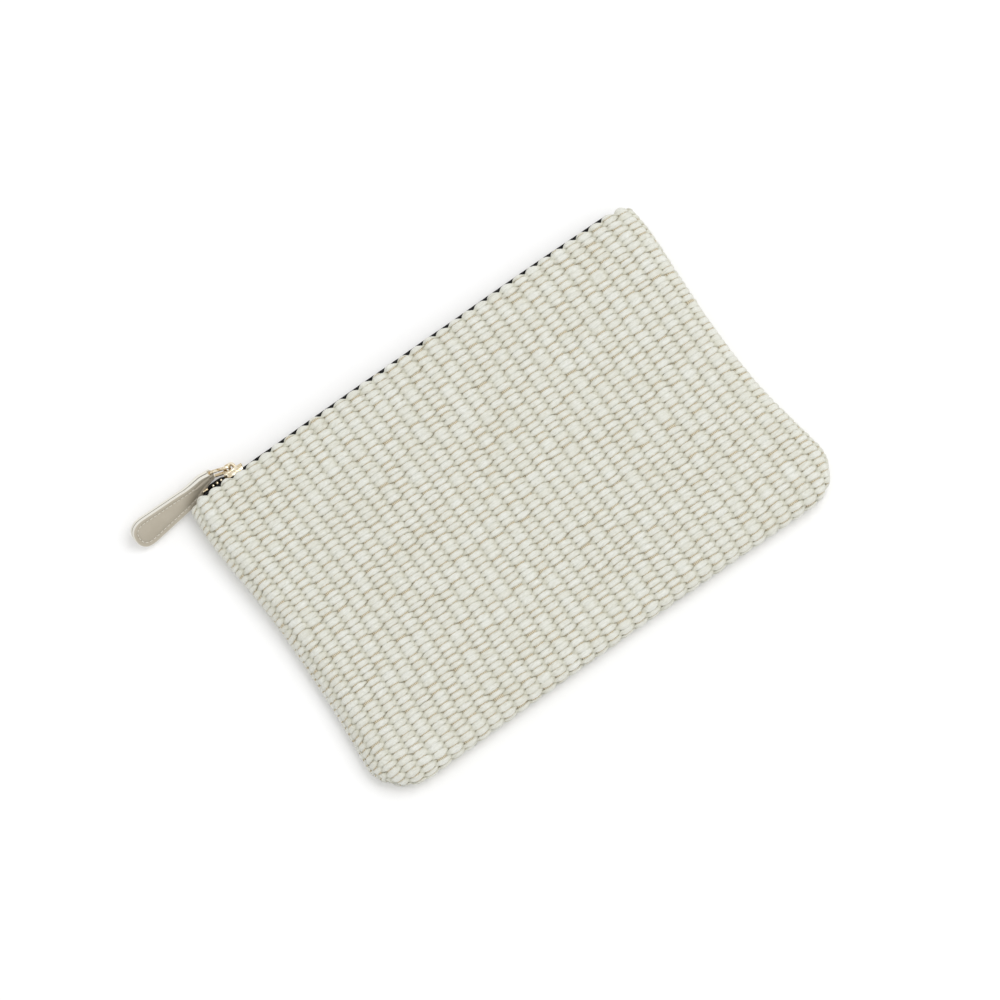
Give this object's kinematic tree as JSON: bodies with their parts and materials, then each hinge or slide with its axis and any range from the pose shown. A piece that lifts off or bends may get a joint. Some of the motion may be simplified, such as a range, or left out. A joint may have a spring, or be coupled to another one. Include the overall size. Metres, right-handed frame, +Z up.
{
  "type": "zippered pouch",
  "caption": "Flat rectangular pouch of thick ribbed hand-woven cloth with a metal top zip and a rounded leather pull.",
  "frame": {"origin": "middle of the back panel's flat underside, which the pouch lies on", "axes": "+X along the zip from its open end to its closed end, +Y from the bottom fold to the mouth, +Z up through the front panel"},
  "size_m": [0.2506, 0.1583, 0.014],
  "materials": {
    "woven_cloth": "matt thick flat wefts over fine warps",
    "warp_thread": "matt fine twisted yarn",
    "lining_cloth": "matt plain cotton",
    "thread": "matt sewing thread",
    "zip_tape": "matt woven tape",
    "zip_metal": "polished pale gold",
    "leather": "smooth with fine grain"
  },
  "bodies": {
    "back": {"back_panel": "woven_cloth", "bottom_fold": "woven_cloth", "left_side_seam": "woven_cloth", "right_side_seam": "woven_cloth", "back_lining": "lining_cloth", "back_mouth_stitching": "thread", "back_zip_tape": "zip_tape", "back_zip_teeth": "zip_metal", "back_top_stop": "zip_metal", "zip_bottom_stop": "zip_metal"},
    "front": {"front_panel": "woven_cloth", "front_lining": "lining_cloth", "front_mouth_stitching": "thread", "front_zip_tape": "zip_tape", "front_zip_teeth": "zip_metal", "front_top_stop": "zip_metal"},
    "slider": {"slider_body": "zip_metal", "slider_crown": "zip_metal"},
    "link": {"pull_link": "zip_metal"},
    "pull": {"pull_front_ply": "leather", "pull_back_ply": "leather", "pull_stitching": "thread"}
  },
  "joints": [
    {"name": "slider_slide", "type": "slide", "parent": "back", "child": "slider", "axis": [1, 0, 0], "range_m": [0, 0.175]},
    {"name": "mouth_open", "type": "hinge", "parent": "back", "child": "front", "pos_m": [0, -0.0677, 0.0129], "axis": [1, 0, 0], "range_deg": [0, 10]},
    {"name": "link_swing", "type": "hinge", "parent": "slider", "child": "link", "pos_m": [-0.0868, 0.0777, 0.0067], "axis": [0, 0, -1], "range_deg": [0, 95]},
    {"name": "pull_swing", "type": "hinge", "parent": "link", "child": "pull", "pos_m": [-0.09502, 0.08021, 0.0067], "axis": [0, 0, -1], "range_deg": [0, 67.1]}
  ],
  "couplings": [
    {"joint": "mouth_open", "follows": "slider_slide", "rad_per_m": 0.9973},
    {"joint": "pull_swing", "follows": "slider_slide", "rad_per_m": 6.69}
  ]
}
